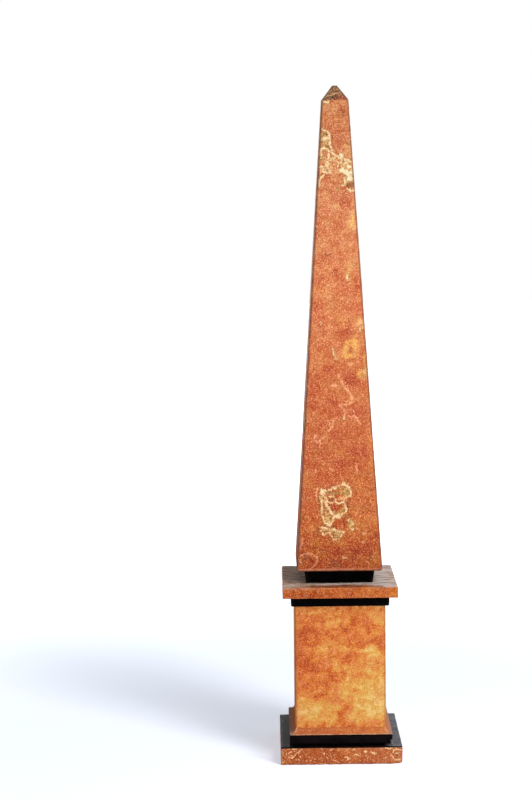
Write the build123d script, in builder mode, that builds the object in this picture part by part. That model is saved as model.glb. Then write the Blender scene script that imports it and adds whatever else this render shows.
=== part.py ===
from build123d import *
import os
from math import atan, degrees

# Table-top obelisk of veneered marble. Millimetres, +Z up, origin on the ground under the centre.

# Plinth: red slabs round a rough core, closed on top by a thin black cover
plinth_margin = 11.4        # how far the plinth stands out past the step
plinth_height = 21.0        # from the ground to the cover's underside
plinth_facing = 10.0        # thickness of its red slabs
cover_thickness = 1.5

# Base: a black step, and a red ledge that sweeps in to the die
step_height = 11.9
ledge_lip = 1.0             # upright edge of the ledge
ledge_flat = 1.2            # level strip on top of the lip
ledge_hollow = 6.2          # radius of the hollow between that strip and the die

# Die: the pedestal's upright block
die_width = 112.4
die_height = 153.7
die_facing = 10.0           # thickness of its golden slabs

# Bed moulding: a black band with a small hollow above it, under the cornice
band_projection = 4.4       # past the die
band_height = 10.7
band_round = 2.0            # radius of the band's lower edge
bed_hollow = 1.5            # radius of the hollow

# Cornice slab, and the black neck on it
cornice_overhang = 8.7      # past the bed moulding
cornice_thickness = 13.5
neck_height = 16.4
neck_flare = 2.25           # growth of each side from foot to top

# Shaft: four tapered slabs on a core, and the cap stone
shaft_foot_width = 107.0
shaft_top_width = 32.9
shaft_height = 576.0
shaft_facing = 10.0         # thickness of its slabs, measured level
cap_height = 17.8
cap_tip_width = 6.0

# Softened edges
arris = 0.8                 # plinth, step, die and cornice
cover_arris = 0.4
shaft_arris = 1.2           # the long edges of the shaft
shaft_foot_round = 2.5      # its lower edges, worn rounder
cap_tip_round = 1.5

# Widths that follow
ledge_width = die_width + 2 * (ledge_flat + ledge_hollow)
plinth_width = ledge_width + 2 * plinth_margin
plinth_core_width = plinth_width - 2 * plinth_facing
die_core_width = die_width - 2 * die_facing
band_width = die_width + 2 * band_projection
bed_width = band_width + 2 * bed_hollow
cornice_width = bed_width + 2 * cornice_overhang
shaft_core_foot_width = shaft_foot_width - 2 * shaft_facing
neck_foot_width = shaft_core_foot_width - 2 * neck_flare

# Levels that follow, from the ground up
cover_level = plinth_height
step_level = cover_level + cover_thickness
ledge_level = step_level + step_height
die_level = ledge_level + ledge_lip + ledge_hollow
bed_level = die_level + die_height
cornice_level = bed_level + band_height + bed_hollow
neck_level = cornice_level + cornice_thickness
shaft_level = neck_level + neck_height
cap_level = shaft_level + shaft_height

# Lean of the sloping faces, in degrees from upright
shaft_lean = degrees(atan((shaft_foot_width - shaft_top_width) / 2 / shaft_height))
cap_lean = degrees(atan((shaft_top_width - cap_tip_width) / 2 / cap_height))
neck_lean = -degrees(atan(neck_flare / neck_height))

side_turns = {"front": 0, "right": 90, "back": 180, "left": 270}


def save(part, name):
    """Label a finished piece and write its STEP file."""
    part.label = name
    export_step(part, f"parts/{name}.step")


def cross(outline):
    """Make a square block that shows the same outline from all four sides, mitred at its corners."""
    with BuildPart() as block:
        for facing_plane, mode in ((Plane.XZ, Mode.ADD), (Plane.YZ, Mode.INTERSECT)):
            with BuildSketch(facing_plane):
                add(outline)
            extrude(amount=plinth_width, both=True, mode=mode)
    return block.part


def save_sides(form, core, group):
    """Cut a square form into four mitred slabs round its core, one for each side."""
    for side, turn in side_turns.items():
        with BuildPart() as slab:
            add(form)
            with BuildSketch(Plane.XY.rotated((0, 0, turn))):
                Polygon((0, 0), (-plinth_width, -plinth_width), (plinth_width, -plinth_width), align=None)
            extrude(amount=cap_level, mode=Mode.INTERSECT)
            add(core, mode=Mode.SUBTRACT)
        save(slab.part, f"{group}_{side}")


os.makedirs("parts", exist_ok=True)

# Plinth
with BuildPart() as plinth_core:
    with BuildSketch():
        Rectangle(plinth_core_width, plinth_core_width)
    extrude(amount=plinth_height)
save(plinth_core.part, "plinth_core")

with BuildPart() as plinth_form:
    with BuildSketch():
        Rectangle(plinth_width, plinth_width)
    extrude(amount=plinth_height)
    ground_edges = plinth_form.faces().sort_by(Axis.Z)[0].edges()
    fillet(plinth_form.edges().filter_by(Axis.Z) + ground_edges, radius=arris)
save_sides(plinth_form.part, plinth_core.part, "plinth")

with BuildPart() as plinth_cover:
    with BuildSketch(Plane.XY.offset(cover_level)):
        RectangleRounded(plinth_width, plinth_width, arris)
    extrude(amount=cover_thickness)
    chamfer(plinth_cover.faces().sort_by(Axis.Z)[-1].edges(), length=cover_arris)
save(plinth_cover.part, "plinth_cover")

# Base
with BuildPart() as base_step:
    with BuildSketch(Plane.XY.offset(step_level)):
        RectangleRounded(ledge_width, ledge_width, arris)
    extrude(amount=step_height)
save(base_step.part, "base_step")

with BuildSketch() as ledge_outline:
    with BuildLine():
        Polyline(
            (0, ledge_level),
            (ledge_width / 2, ledge_level),
            (ledge_width / 2, ledge_level + ledge_lip),
            (ledge_width / 2 - ledge_flat, ledge_level + ledge_lip),
        )
        CenterArc(
            center=(ledge_width / 2 - ledge_flat, die_level),
            radius=ledge_hollow,
            start_angle=180,
            arc_size=90,
        )
        Line((die_width / 2, die_level), (0, die_level))
        mirror(about=Plane.YZ)
    make_face()

with BuildPart() as base_ledge:
    add(cross(ledge_outline.sketch))
save(base_ledge.part, "base_ledge")

# Die. Its core runs up through the bed moulding to carry the cornice
with BuildPart() as die_core:
    with BuildSketch(Plane.XY.offset(die_level)):
        Rectangle(die_core_width, die_core_width)
    extrude(amount=cornice_level - die_level)
save(die_core.part, "die_core")

with BuildPart() as die_form:
    with BuildSketch(Plane.XY.offset(die_level)):
        RectangleRounded(die_width, die_width, arris)
    extrude(amount=die_height)
save_sides(die_form.part, die_core.part, "die")

# Bed moulding. Its four lengths lie on the die's slabs, round the core
with BuildSketch() as bed_outline:
    with BuildLine():
        Line((0, bed_level), (band_width / 2 - band_round, bed_level))
        CenterArc(
            center=(band_width / 2 - band_round, bed_level + band_round),
            radius=band_round,
            start_angle=270,
            arc_size=90,
        )
        Line((band_width / 2, bed_level + band_round), (band_width / 2, bed_level + band_height))
        CenterArc(
            center=(bed_width / 2, bed_level + band_height),
            radius=bed_hollow,
            start_angle=90,
            arc_size=90,
        )
        Line((bed_width / 2, cornice_level), (0, cornice_level))
        mirror(about=Plane.YZ)
    make_face()
save_sides(cross(bed_outline.sketch), die_core.part, "bed")

# Cornice
with BuildPart() as cornice:
    with BuildSketch(Plane.XY.offset(cornice_level)):
        Rectangle(cornice_width, cornice_width)
    extrude(amount=cornice_thickness)
    fillet(cornice.edges(), radius=arris)
save(cornice.part, "cornice")

# Neck. It widens upward to the size of the shaft's core, and carries it
with BuildPart() as neck:
    with BuildSketch(Plane.XY.offset(neck_level)):
        Rectangle(neck_foot_width, neck_foot_width)
    extrude(amount=neck_height, taper=neck_lean)
save(neck.part, "neck")

# Shaft
with BuildPart() as shaft_core:
    with BuildSketch(Plane.XY.offset(shaft_level)):
        Rectangle(shaft_core_foot_width, shaft_core_foot_width)
    extrude(amount=shaft_height, taper=shaft_lean)
save(shaft_core.part, "shaft_core")

with BuildPart() as shaft_form:
    with BuildSketch(Plane.XY.offset(shaft_level)):
        Rectangle(shaft_foot_width, shaft_foot_width)
    extrude(amount=shaft_height, taper=shaft_lean)
    foot_edges = shaft_form.faces().sort_by(Axis.Z)[0].edges()
    top_edges = shaft_form.faces().sort_by(Axis.Z)[-1].edges()
    fillet(shaft_form.edges() - foot_edges - top_edges, radius=shaft_arris)
    fillet(shaft_form.faces().sort_by(Axis.Z)[0].edges(), radius=shaft_foot_round)
save_sides(shaft_form.part, shaft_core.part, "shaft")

# Pyramidion
with BuildPart() as pyramidion:
    with BuildSketch(Plane.XY.offset(cap_level)):
        Rectangle(shaft_top_width, shaft_top_width)
    extrude(amount=cap_height, taper=cap_lean)
    base_edges = pyramidion.faces().sort_by(Axis.Z)[0].edges()
    tip_edges = pyramidion.faces().sort_by(Axis.Z)[-1].edges()
    fillet(pyramidion.edges() - base_edges - tip_edges, radius=shaft_arris)
    fillet(pyramidion.faces().sort_by(Axis.Z)[-1].edges(), radius=cap_tip_round)
save(pyramidion.part, "pyramidion")
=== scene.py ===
import functools
import math

import bpy
import numpy as np
from mathutils import Matrix, Vector


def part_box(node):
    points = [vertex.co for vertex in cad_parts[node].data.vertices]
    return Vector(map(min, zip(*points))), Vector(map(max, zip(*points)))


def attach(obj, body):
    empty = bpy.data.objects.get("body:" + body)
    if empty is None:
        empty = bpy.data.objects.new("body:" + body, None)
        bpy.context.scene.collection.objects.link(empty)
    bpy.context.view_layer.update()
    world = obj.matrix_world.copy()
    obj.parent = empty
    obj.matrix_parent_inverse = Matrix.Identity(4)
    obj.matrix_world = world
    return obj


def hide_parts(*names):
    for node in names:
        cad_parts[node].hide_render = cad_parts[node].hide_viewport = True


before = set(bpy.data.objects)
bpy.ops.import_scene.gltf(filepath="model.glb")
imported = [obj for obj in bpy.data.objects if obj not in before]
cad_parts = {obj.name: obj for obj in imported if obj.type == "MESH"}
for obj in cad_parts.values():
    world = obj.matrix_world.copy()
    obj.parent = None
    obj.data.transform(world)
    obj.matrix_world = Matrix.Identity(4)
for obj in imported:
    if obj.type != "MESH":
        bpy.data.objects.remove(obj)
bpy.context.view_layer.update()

# A table obelisk of veneered marble. Lengths are millimetres unless a comment says metres, and angles are degrees
# unless it says radians. Every CAD solid is replaced by a worn copy of itself, apart from the three cores.
MM = 0.001
SIDES = ("front", "right", "back", "left")
DULL = 0.3                      # added to the roughness of a stone that has lost its polish


# ---------------------------------------------------------------- measures from the frame

def half(node):
    """Half the width of a CAD node."""
    low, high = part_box(node)
    return (high.x - low.x) / 2 / MM


def levels_of(node):
    """The heights of a CAD node's underside and top."""
    low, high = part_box(node)
    return low.z / MM, high.z / MM


SHAFT_FOOT, SHAFT_TOP = levels_of("shaft_front")


# ---------------------------------------------------------------- camera

CAMERA_PLACE = (-0.08824, -2.40589, 0.71512)    # metres
CAMERA_LENS, CAMERA_SENSOR = 87.44, 36.0
CAMERA_PITCH = 0.1118                           # radians below the horizon
CAMERA_ROLL = -0.0116                           # radians
CAMERA_REACH = 60.0                             # metres


def add_camera():
    """The photograph's view."""
    data = bpy.data.cameras.new("camera")
    data.lens, data.sensor_width, data.clip_end = CAMERA_LENS, CAMERA_SENSOR, CAMERA_REACH
    camera = bpy.data.objects.new("camera", data)
    camera.matrix_world = (
        Matrix.Translation(CAMERA_PLACE)
        @ Matrix.Rotation(math.pi / 2 - CAMERA_PITCH, 4, "X")
        @ Matrix.Rotation(CAMERA_ROLL, 4, "Z")
    )
    bpy.context.scene.collection.objects.link(camera)
    bpy.context.scene.camera = camera


# ---------------------------------------------------------------- outlines

def graded(length, fine, coarse, growth=1.3):
    """Distances from 0 to length, close together at both ends and wider between."""
    steps, reach, step = [], 0.0, fine
    while reach + step < length / 2:
        steps.append(step)
        reach += step
        step = min(step * growth, coarse)
    gap = length - 2 * reach
    middle = max(1, math.ceil(gap / step))
    widths = steps + [gap / middle] * middle + steps[::-1]
    return np.concatenate(([0.0], np.cumsum(widths)))


def run(start, end, fine, coarse):
    """A straight run of an outline, without its last point."""
    start, end = np.array(start, float), np.array(end, float)
    length = np.linalg.norm(end - start)
    share = graded(length, fine, coarse)[:-1] / length
    return start + share[:, None] * (end - start)


def bend(centre, radius, first, last, count):
    """An arc of an outline from one angle to another, without its last point."""
    angles = np.radians(np.linspace(first, last, count + 1)[:-1])
    return np.array(centre) + radius * np.column_stack((np.cos(angles), np.sin(angles)))


def unit(vector):
    return vector / np.linalg.norm(vector)


def rounded(corners, fine, coarse):
    """An outline through corners (half width, height, radius), each rounded by its own radius."""
    turn_per_step, fewest_steps = 18, 3
    points = [np.array(corner[:2], float) for corner in corners]
    parts, place = [], points[0]
    for before, point, after, (_, _, radius) in zip(points, points[1:], points[2:], corners[1:]):
        back, ahead = unit(before - point), unit(after - point)
        half_angle = math.acos(np.clip(back @ ahead, -1, 1)) / 2
        reach = radius / math.tan(half_angle)
        enter, leave = point + back * reach, point + ahead * reach
        parts.append(run(place, enter, fine, coarse))
        if radius > 0:
            middle = point + unit(back + ahead) * radius / math.sin(half_angle)
            first = math.degrees(math.atan2(*(enter - middle)[::-1]))
            last = math.degrees(math.atan2(*(leave - middle)[::-1]))
            turn = (last - first + 180) % 360 - 180
            steps = max(fewest_steps, round(abs(turn) / turn_per_step))
            parts.append(bend(middle, radius, first, first + turn, steps))
        place = leave
    return np.concatenate(parts + [run(place, points[-1], fine, coarse), points[-1][None, :]])


def slab_outline(inner, outer, levels, rounds, fine, coarse):
    """A slab's outline: out along its underside, up its face and back in along its top.
    Inner and outer are half widths, each one number or a pair (below, above); rounds are the face's two corners."""
    inner, outer = np.broadcast_to(inner, 2), np.broadcast_to(outer, 2)
    (low, high), (foot_round, top_round) = levels, rounds
    return rounded(
        ((inner[0], low, 0), (outer[0], low, foot_round), (outer[1], high, top_round), (inner[1], high, 0)),
        fine, coarse)


def hollow_outline(corners, hollow, inner, top, fine, coarse, fine_top, coarse_top):
    """An outline through rounded corners that ends in a hollow, (centre, radius, first and last angle, steps),
    and a level top that runs in to the inner half width."""
    centre, radius, first, last, steps = hollow
    edge = centre[0] + radius * math.cos(math.radians(last))
    return np.concatenate((
        rounded(corners, fine, coarse)[:-1],
        bend(centre, radius, first, last, steps),
        run((edge, top), (inner, top), fine_top, coarse_top),
        np.array(((inner, top),)),
    ))


# ---------------------------------------------------------------- wear

def ripple(points, size, seed, count=14):
    """A smooth random field of about -1 to 1, whose bumps are about the given size."""
    rng = np.random.default_rng(seed)
    waves = rng.normal(size=(count, 3)) * (2.2 / size)
    phases = rng.uniform(0, 2 * math.pi, count)
    return np.sin(points @ waves.T + phases).sum(1) / math.sqrt(count)


def turned(points, quarter):
    """Points or directions turned by quarter turns about the upright axis."""
    c, s = ((1, 0), (0, 1), (-1, 0), (0, -1))[quarter]
    x, y, z = points.T
    return np.column_stack((x * c - y * s, x * s + y * c, z))


def upright_edges(half_width, low, high, top_half=None):
    """The four arrises of a square stone, each (start, end, inward)."""
    top_half = half_width if top_half is None else top_half
    return [
        ((sx * half_width, sy * half_width, low), (sx * top_half, sy * top_half, high), (-sx, -sy, 0))
        for sx in (-1, 1) for sy in (-1, 1)
    ]


def level_edges(half_width, height, rise, corner=4):
    """The four level edges of a square stone, short of its corners; rise is 1 where stone is above, -1 below."""
    keep = half_width - corner
    for quarter in range(4):
        ends = turned(np.array(((-keep, -half_width, height), (keep, -half_width, height))), quarter)
        yield *ends, turned(np.array(((0.0, 1.0, rise),)), quarter)[0]


class Chips:
    """Scoops knocked out of edges: balls whose surface the stone is cut back to."""

    smallest = (0.6, 0.12)      # width and depth
    roughness, grain = 0.18, 1.1

    def __init__(self):
        self.balls = []

    def add(self, place, inward, width, depth):
        """A scoop of that width and depth, centred on a point of an edge."""
        inward = unit(np.array(inward, float))
        radius = (width * width / 4 + depth * depth) / (2 * depth)
        self.balls.append((np.array(place, float) - inward * (radius - depth), inward, radius))

    def scatter(self, seed, edges, every, widths, depths):
        """Chips at random along edges, one for about every so many millimetres."""
        rng = np.random.default_rng(seed)
        for start, end, inward in edges:
            start, end = np.array(start, float), np.array(end, float)
            for _ in range(max(1, round(np.linalg.norm(end - start) / every))):
                place = start + (end - start) * rng.uniform(0, 1)
                width = rng.uniform(*widths) * rng.uniform(0.5, 1) ** 2
                depth = rng.uniform(*depths) * width / widths[1]
                self.add(place, inward, *np.maximum((width, depth), self.smallest))

    def cut(self, points, seed):
        """Moves the points to the scoops' surfaces and says how deep each was cut."""
        depth = np.zeros(len(points))
        moved = points.copy()
        rough = 1 + self.roughness * ripple(points, self.grain, seed)
        for centre, inward, radius in self.balls:
            away = moved - centre
            near = np.flatnonzero((away ** 2).sum(1) < radius * radius)
            if not len(near):
                continue
            along = away[near] @ inward
            root = np.sqrt(along ** 2 - (away[near] ** 2).sum(1) + radius * radius)
            push = np.clip(root - along, 0, None) * rough[near]
            moved[near] += push[:, None] * inward
            depth[near] += push
        return moved, depth


# ---------------------------------------------------------------- marks in the stone

# Marks are drawn on a slab's face in millimetres: u to the right of its middle line, z up from the ground.
# A line is (half width, point, point, ...), a spot is (u, z, half width, half height, turn), and a cloud is a
# spot with a strength before it. Cream, fill, faint and dark are kinds of marks, each (lines, spots): the rims of
# knots and shells, the stains inside them, faint crescents, and dark lines. Tone, gold, web and olive are kinds of
# clouds: paler or darker stone, golden stone, webs of cream veins, and olive stains.

FAR = 9.0                       # the gap where no mark is near


def oval_share(spots, u, z, wide, high, turn=0.0):
    """0 at the middle of an oval, 1 on its rim and more outside."""
    c, s = math.cos(math.radians(turn)), math.sin(math.radians(turn))
    du, dz = spots[:, 0] - u, spots[:, 1] - z
    return np.hypot((du * c + dz * s) / wide, (dz * c - du * s) / high)


def mark_gap(spots, lines=(), ovals=()):
    """How far each place on a face is from the rim of the nearest mark, less than 0 inside it."""
    gap = np.full(len(spots), FAR)
    for half_width, *path in lines:
        for start, end in zip(path, path[1:]):
            start, along = np.array(start, float), np.subtract(end, start).astype(float)
            share = np.clip((spots - start) @ along / (along @ along), 0, 1)
            away = spots - start - share[:, None] * along
            gap = np.minimum(gap, np.hypot(*away.T) - half_width)
    for oval in ovals:
        gap = np.minimum(gap, (oval_share(spots, *oval) - 1) * min(oval[2:4]))
    return gap


def cloud_sum(spots, clouds):
    """The sum of soft clouds at each place on a face."""
    total = np.zeros(len(spots))
    for strength, *oval in clouds:
        total += strength * np.exp(-oval_share(spots, *oval) ** 2)
    return total


def wandering(spots, seed, size, amount):
    """The places, pushed about so that marks drawn straight come out bent."""
    level = np.column_stack((spots, np.zeros(len(spots))))
    return spots + amount * np.column_stack((ripple(level, size, seed), ripple(level, size, seed + 1)))


def mark_attributes(spots, marks, seed):
    """What a slab's material reads its marks from: the gaps to four kinds of marks, and four kinds of clouds.
    Marks wander a little from where they are drawn, and clouds more."""
    bent = wandering(spots, seed, 4.0, 0.35)
    wide = wandering(spots, seed + 2, 11.0, 1.8)
    cream, faint, dark, fill = (mark_gap(bent, *marks.get(kind, ())) for kind in ("cream", "faint", "dark", "fill"))
    tone, gold, web, olive = (cloud_sum(wide, marks.get(kind, ())) for kind in ("tone", "gold", "web", "olive"))
    return {
        "gaps": np.column_stack((cream, faint, dark)), "fill": fill,
        "clouds": np.column_stack((tone, gold, web)), "olive": olive,
    }


SHAFT_FRONT = {
    "cream": ((
        # patch near the top: a vein round an olive eye, and bands of cream across the face
        (0.8, (-16, 777.5), (-12.3, 776.4), (-9.2, 774), (-8, 771.5), (-7.4, 768), (-7, 764), (-6.8, 760),
            (-5.2, 754)),
        (1.1, (-19, 750), (-17.2, 754), (-14.7, 755.6), (-12.3, 754.7), (-9.8, 752.9), (-8, 751.7)),
        (0.9, (-8, 751.7), (-3, 748.7), (-0.6, 746.3), (1.2, 745), (3, 744)), (0.5, (-5.2, 754), (-2, 752)),
        (0.8, (-8.6, 747.5), (-8, 745), (-8.6, 742.7), (-9.2, 739), (-8.6, 736)),
        (0.7, (-6.8, 742.7), (-3, 742), (0, 744)), (0.8, (-11.7, 736), (-10.4, 733), (-9.2, 730)),
        (0.7, (-20.3, 732), (-16.6, 733), (-14.7, 729), (-14.7, 725)),
        (0.6, (-9.2, 728), (-6, 728), (-8, 725), (-13, 725)),
        (0.9, (-14, 723.4), (-17.2, 720), (-19, 717.4), (-20.3, 713), (-21, 709)),
        (1.0, (10.4, 741.5), (14, 741.5), (17.2, 739.7), (20, 738)), (1.0, (8, 735.4), (11.7, 736.6), (15.3, 737.8)),
        (0.9, (2.8, 736.5), (2.8, 732)), (1.0, (11, 719), (11, 712)), (1.1, (14, 704.5), (18.4, 703), (23, 703.6)),
        (0.5, (-6, 511.5), (-4.5, 508), (-4.8, 505)), (0.5, (-4.8, 505), (-1.8, 497.5)),
        # knot near the foot: its rim, the loop and the bar inside it
        (0.9, (-23.7, 330), (-21.5, 324.6), (-20.7, 320), (-20.9, 313), (-20.7, 307), (-18.5, 301), (-17.2, 296.5)),
        (1.2, (-17.2, 296.5), (-13.2, 294.8), (-9.7, 296.5), (-8, 301), (-7.1, 304.5)),
        (0.8, (-16.7, 337.3), (-9.7, 338.2), (-7.5, 340.4)), (0.8, (-5.3, 341), (-1.8, 343), (3.4, 343.5)),
        (1.4, (5.2, 345.6), (8.5, 344), (11.3, 341.8)),
        (0.9, (13, 341), (14.8, 336), (15.3, 331.6), (12.2, 329.4), (9.6, 329.4)),
        (0.9, (-15.8, 328), (-14.1, 330), (-8, 330.3), (-5.3, 329), (-4, 325.5), (-3.6, 322)),
        (0.7, (-15.5, 329), (-14.5, 323.5), (-8, 322)), (1.1, (-3.6, 321), (1.7, 322), (5.2, 323.3), (7.4, 325)),
        (0.9, (7, 322), (7.8, 317.6), (9.1, 313.2), (7, 309.7), (3.4, 308)),
        (1.3, (3.4, 308), (0.8, 305.3), (-2.7, 304.4), (-6.2, 308)),
        (1.2, (-16.7, 323), (-14.1, 317.6), (-10.6, 312.3), (-6.2, 308)),
        (0.6, (-15, 308), (-10.6, 309.7), (-7.1, 308)), (0.6, (-22, 339), (-18, 330), (-17, 324)),
        # the broken piece under it
        (1.0, (-22.4, 291.7), (-17.6, 290.8), (-12.3, 290), (-8.8, 289.5), (-6.2, 290.4), (-5.3, 288.6), (-1.8, 287),
            (5.2, 287)),
        (0.8, (5.2, 286), (2.6, 282.5), (0.8, 279), (-3.6, 276.6), (-7.1, 277.7)),
        (0.7, (-22.4, 288), (-19.4, 283.4), (-15, 285.1), (-11.5, 285.1), (-9.7, 282.5), (-7.1, 277.7)),
    ), (
        (-11, 811, 3.4, 1.2), (-12.2, 766.4, 4.4, 2.0), (6.7, 744.5, 3.0, 3.8), (4.6, 738, 2.4, 1.2),
        (-18, 748, 1.1, 2.4), (8.2, 728.6, 4.2, 2.8, 30), (13.6, 725.6, 5.4, 3.6, -24), (16.6, 732.0, 3.2, 2.2),
        (16.6, 718.8, 4.0, 4.0), (9, 709.5, 1.8, 1.2), (18, 765, 1.0, 1.0), (19.4, 726, 2.2, 4.6),
        (-20, 335.5, 3.0, 4.2), (-5.3, 340.4, 2.9, 1.5, 20), (-2, 305.8, 3.6, 1.8, 25), (-13.5, 296.5, 3.6, 2.0),
        (-18.5, 284, 2.6, 1.5), (11.5, 300.5, 1.4, 1.2), (17, 296.5, 1.2, 1.2), (16.5, 289.5, 1.6, 0.9),
        (13, 597, 1.8, 3.2), (33, 483, 1.3, 2.4), (28, 535, 1.0, 2.4), (-20, 542.5, 0.8, 1.2), (7, 426, 1.2, 1.4),
        (6, 255, 1.6, 0.9),
    )),
    "fill": ((
        (2.4, (7, 315), (3, 311), (-2.7, 308)), (1.6, (-16, 320), (-12, 313), (-8, 309)),
        (1.7, (-14, 334.5), (-6, 334), (2, 335)), (2.2, (1, 327), (6, 328), (10, 330)),
        (1.6, (-20, 288), (-14, 287.6), (-9, 287)), (1.2, (-7, 340), (-2, 340.6), (3, 340.6)),
        (1.0, (-17, 312), (-16.5, 306)),
    ), (
        (-13.2, 301, 4.6, 6), (9.5, 336, 5.6, 5.6), (-1.8, 283, 5.4, 4.6), (14.8, 295.6, 4.2, 5.4),
        (-20.6, 329, 2.2, 2.6), (-13.5, 768, 4.6, 6.0), (-12, 758, 4.0, 2.2), (13.5, 731.8, 4.6, 3.4),
        (16, 723, 4.0, 3.0), (11, 714, 3.0, 4.0), (9.5, 736, 2.2, 1.6), (17, 741, 3.0, 1.6), (-18, 741, 2.4, 2.6),
        (5, 722, 1.6, 2.4), (20, 714, 1.6, 3.0), (2, 705, 2.4, 1.6), (-16.5, 743.5, 3.4, 4.4),
    )),
    "faint": ((
        (0.8, (-6, 511), (-4, 506), (-3, 500), (-1, 497)), (1.3, (3, 474), (5, 469), (8, 465), (11, 461), (14, 457)),
        (1.4, (14, 457), (17, 452), (17, 447), (13, 443), (8, 443), (4, 442)),
        (1.1, (2, 442), (7, 438), (9, 433), (7, 427)),
        (0.9, (9, 436), (14, 437), (19, 435), (20, 430), (17, 427), (13, 429)),
        (1.1, (22, 427), (25, 422), (27, 419)), (0.9, (-17, 423), (-14, 424), (-11, 420), (-10, 414), (-12, 410)),
        (0.9, (-8, 414), (-5, 423), (-8, 424)), (0.8, (-28, 405), (-30, 400), (-26, 396), (-22, 400), (-18, 403)),
        (0.8, (-26, 404), (-22, 396), (-24, 391)), (1.0, (-45, 279), (-46, 271), (-50, 265)),
        (1.1, (-48, 258), (-40, 260.5), (-33, 259), (-27, 255), (-27, 250)),
        (1.0, (-27, 250), (-31, 245), (-37, 241)), (0.9, (22, 370), (23, 359)), (0.9, (-11, 364), (-5, 361)),
        (0.6, (45, 261), (41, 256), (44, 249)), (0.8, (33, 250), (36, 247)),
        (0.8, (-24, 342), (-27, 339), (-28, 334), (-27, 330)),
    ), (
        (1, 477, 1.6, 3.0), (-28, 362, 1.2, 2.0), (27, 541, 5.0, 3.0), (14, 666, 3.4, 2.0), (-8, 549, 2.6, 1.4),
        (15, 492, 4.0, 2.0), (30, 455, 2.0, 1.0), (-5, 466, 5.0, 1.6), (-48, 250, 1.4, 3.0), (-38.7, 328.5, 1.2, 1.2),
        (30.6, 284, 2.6, 1.8), (28.9, 273, 2.4, 2.0), (24, 659, 1.4, 3.0), (4.5, 327.5, 5.0, 2.0),
    )),
    "dark": ((
        (1.0, (-25.5, 334), (-24.5, 327), (-23.3, 320), (-23.3, 312)), (1.0, (-20.2, 293.9), (-13, 293), (-6, 292.6)),
        (1.1, (13.5, 327), (11, 321), (10.5, 316)), (0.9, (-16, 335.6), (-9, 335), (-5, 335.6)),
        (0.8, (-13, 320), (-10, 316), (-7, 312)), (0.8, (-12, 341), (-8, 343), (-4, 345)),
        (0.8, (-21.5, 290), (-19, 286.5), (-14, 287)), (0.8, (-8, 286), (-5, 283), (-4, 279)),
        (0.7, (-14, 626), (-10, 624), (-6, 628)), (0.7, (28, 478), (33, 478)),
        (0.5, (-4.5, 774), (-4, 765), (-4, 758)),
    ), (
        (17.5, 710, 4.2, 4.6), (-9, 326, 3.6, 2.8), (-13.2, 771.6, 2.6, 2.2), (-11, 757.7, 3.0, 1.3),
        (-17, 762, 1.8, 2.0), (15, 760, 2.0, 1.5), (4.3, 733, 1.1, 2.3), (11.5, 739, 1.6, 1.2),
        (13.5, 731.8, 1.2, 1.4), (9.5, 797, 1.0, 3.0), (-10, 326, 2.2, 1.0), (10.5, 337, 1.0, 1.2),
        (8.5, 333.5, 1.0, 0.8), (4, 312, 1.0, 0.8), (-12, 303, 1.0, 0.8), (19, 293, 1.0, 1.2), (12, 296, 1.0, 1.2),
        (-2, 285, 1.4, 1.0), (24, 706, 1.2, 1.6), (34, 496, 0.8, 1.6),
    )),
    "tone": (
        (-0.30, -10, 789, 5, 9), (-0.16, 9, 772, 8, 18), (-0.14, 7, 795, 5, 7), (0.16, 10, 787, 4, 4),
        (0.14, -13, 803, 5, 7), (0.20, -11, 769, 6, 11), (-0.20, 0, 760, 4, 9), (-0.22, -3, 738, 6, 6),
        (0.10, -13, 742, 6, 6), (-0.18, -14, 727, 6, 6), (0.16, -14, 695, 9, 8), (-0.20, 8, 694, 7, 9),
        (-0.14, 15, 685, 6, 7), (0.16, 0, 684, 6, 6), (0.30, 20, 667, 6, 13), (-0.14, 5, 715, 7, 9),
        (-0.14, -10, 708, 8, 8), (-0.22, -14, 625, 8, 5), (-0.12, 0, 642, 6, 5), (-0.14, 16, 650, 5, 3),
        (0.12, 15, 638, 7, 6), (0.16, 15, 608, 8, 9), (0.24, 13, 597, 4, 6), (-0.20, 0, 603, 6, 13),
        (-0.14, 27, 590, 5, 7), (0.20, -8, 567, 7, 9), (0.10, 13, 572, 7, 7), (-0.12, -24, 570, 7, 14),
        (0.18, 25, 541, 8, 8), (-0.18, 13, 533, 9, 6), (0.22, 16, 513, 14, 14), (-0.18, 18, 509, 6, 4),
        (0.22, 34, 500, 4, 22), (0.14, 14, 492, 8, 6), (-0.20, 15, 478, 9, 9), (-0.18, -13, 488, 6, 5),
        (-0.14, -22, 474, 7, 5), (0.16, 30, 483, 8, 4), (0.14, 2, 474, 5, 7), (0.12, -4, 466, 12, 3),
        (-0.12, -33, 455, 7, 18), (0.10, 9, 450, 8, 7), (-0.16, 17, 431, 3, 3), (-0.14, 24, 437, 7, 6),
        (-0.14, -20, 415, 6, 8), (0.14, 36, 405, 4, 20), (-0.12, -22, 388, 7, 6), (0.16, 39, 375, 4, 22),
        (-0.16, 14, 375, 14, 9), (-0.12, 0, 366, 6, 5), (0.10, 10, 335, 7, 7), (-0.22, -8, 327, 5, 3),
        (-0.24, -4, 317, 6, 4), (-0.18, 3, 298, 9, 7), (-0.14, 0, 354, 26, 5), (0.16, 15, 296, 6, 6),
        (0.12, -2, 284, 6, 5), (-0.26, -38, 275, 8, 6), (-0.36, 22, 262, 16, 6), (-0.34, -2, 262, 7, 5),
        (0.16, 46, 262, 5, 10), (-0.16, -38, 250, 10, 8), (-0.14, -10, 251, 12, 4), (0.16, 46, 300, 4, 14),
        (-0.14, -30, 320, 7, 16), (0.08, 30, 325, 12, 16), (0.12, 0, 448, 7, 7),
    ),
    "gold": (
        (0.55, -12, 769, 5, 10), (0.4, 10, 787, 4, 4), (0.7, 20, 668, 5, 12), (0.35, 15, 608, 8, 8),
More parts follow.
